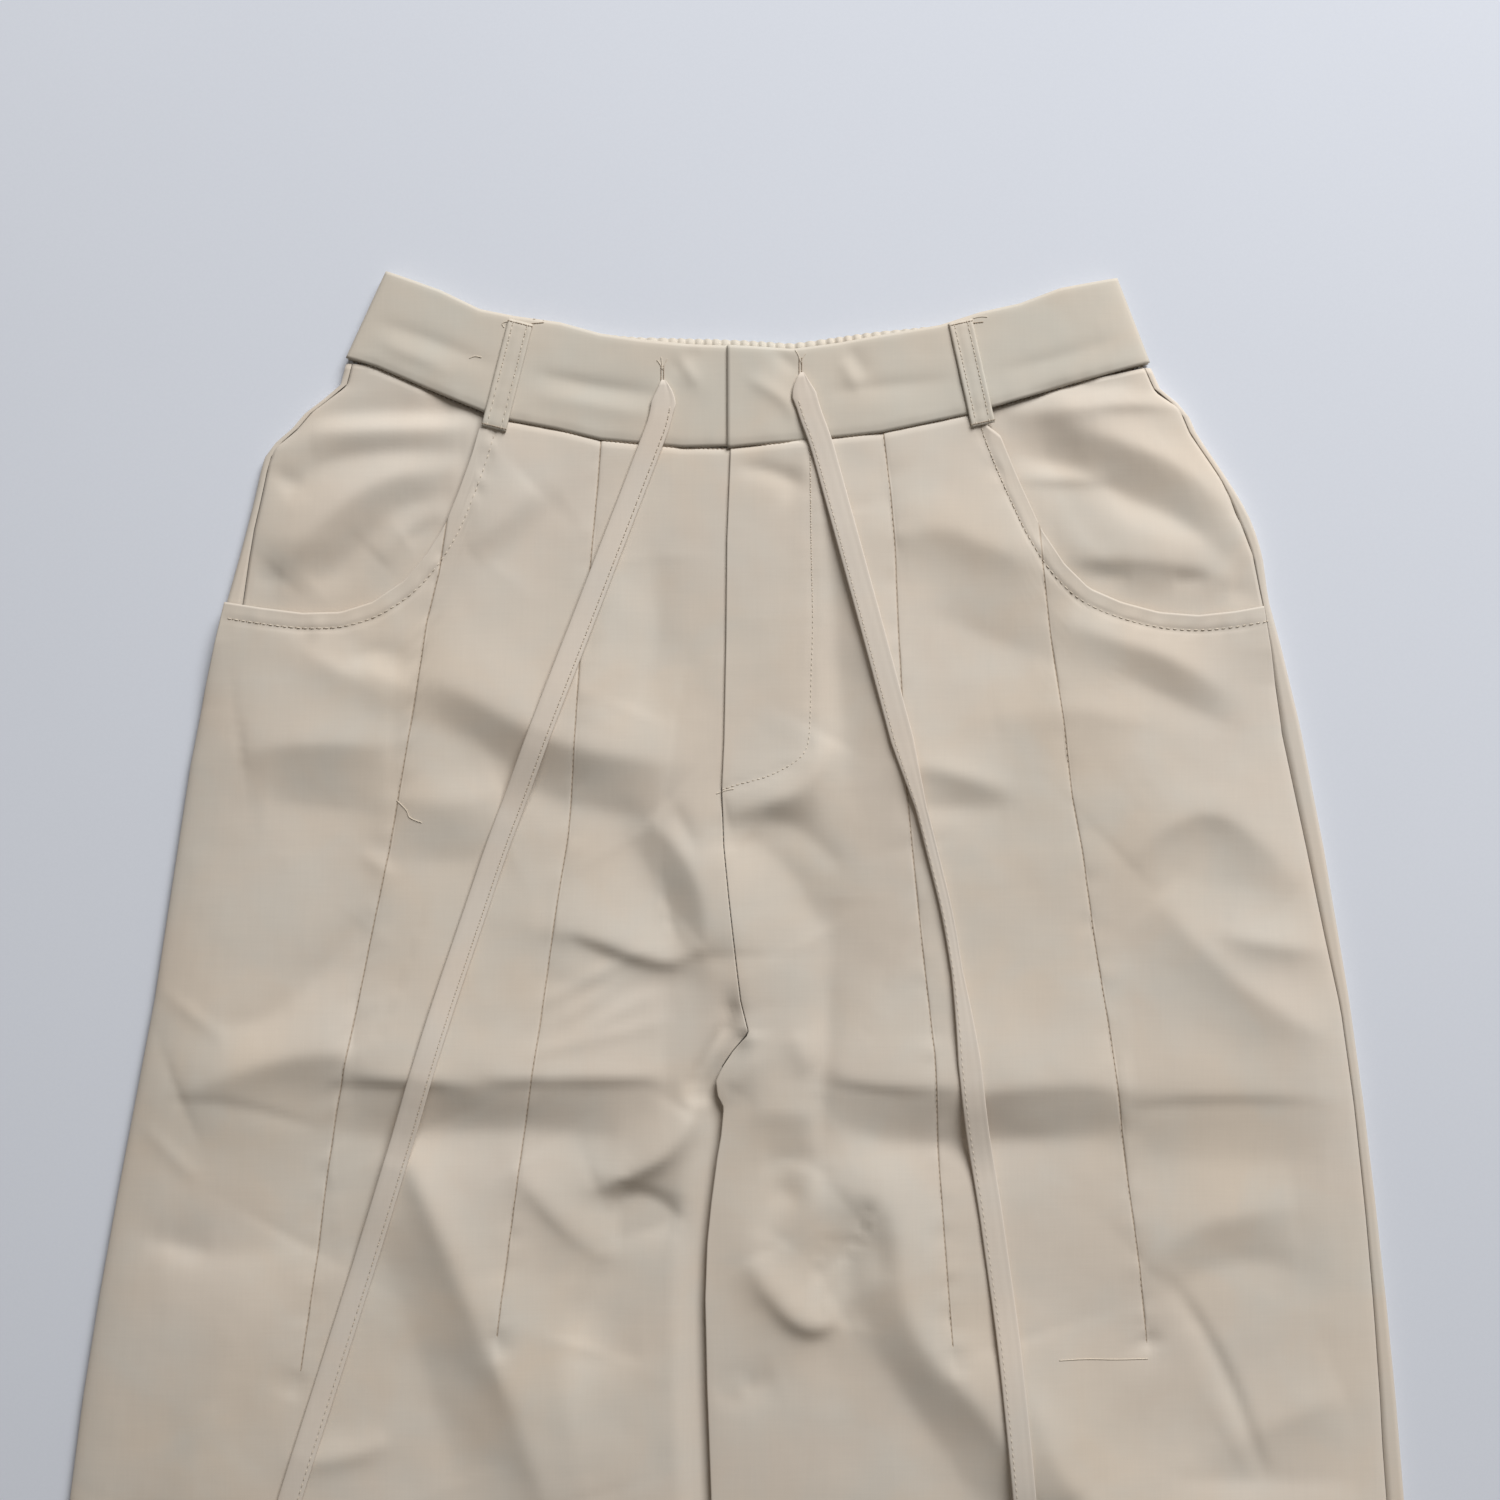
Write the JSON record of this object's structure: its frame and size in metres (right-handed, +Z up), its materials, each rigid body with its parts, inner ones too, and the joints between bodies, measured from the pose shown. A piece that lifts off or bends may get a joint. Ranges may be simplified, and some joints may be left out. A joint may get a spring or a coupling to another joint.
{
  "type": "easy trousers",
  "caption": "Wide easy trousers lying flat, with a drawstring waist gathered at the back, a fly front and scooped hip pockets.",
  "frame": {"origin": "middle of the trousers' plan outline, on the surface that they lie on", "axes": "+X to the viewer's right, +Y from the hems towards the waist, +Z up out of the front"},
  "size_m": [0.5636, 1.01, 0.0175],
  "materials": {
    "cream_cloth": "smooth light cotton poplin, matt with a faint sheen",
    "cream_band": "the same poplin, folded double",
    "cream_tie": "the same poplin, folded and stitched as a flat tie"
  },
  "bodies": {
    "root": {"front_left": "cream_cloth", "front_right": "cream_cloth", "back_left": "cream_cloth", "back_right": "cream_cloth", "pocket_yoke_left": "cream_cloth", "pocket_yoke_right": "cream_cloth", "waistband_front_left": "cream_band", "waistband_front_right": "cream_band", "waistband_back": "cream_band", "belt_loop_left": "cream_band", "belt_loop_right": "cream_band", "drawstring_left": "cream_tie", "drawstring_right": "cream_tie"}
  },
  "joints": []
}
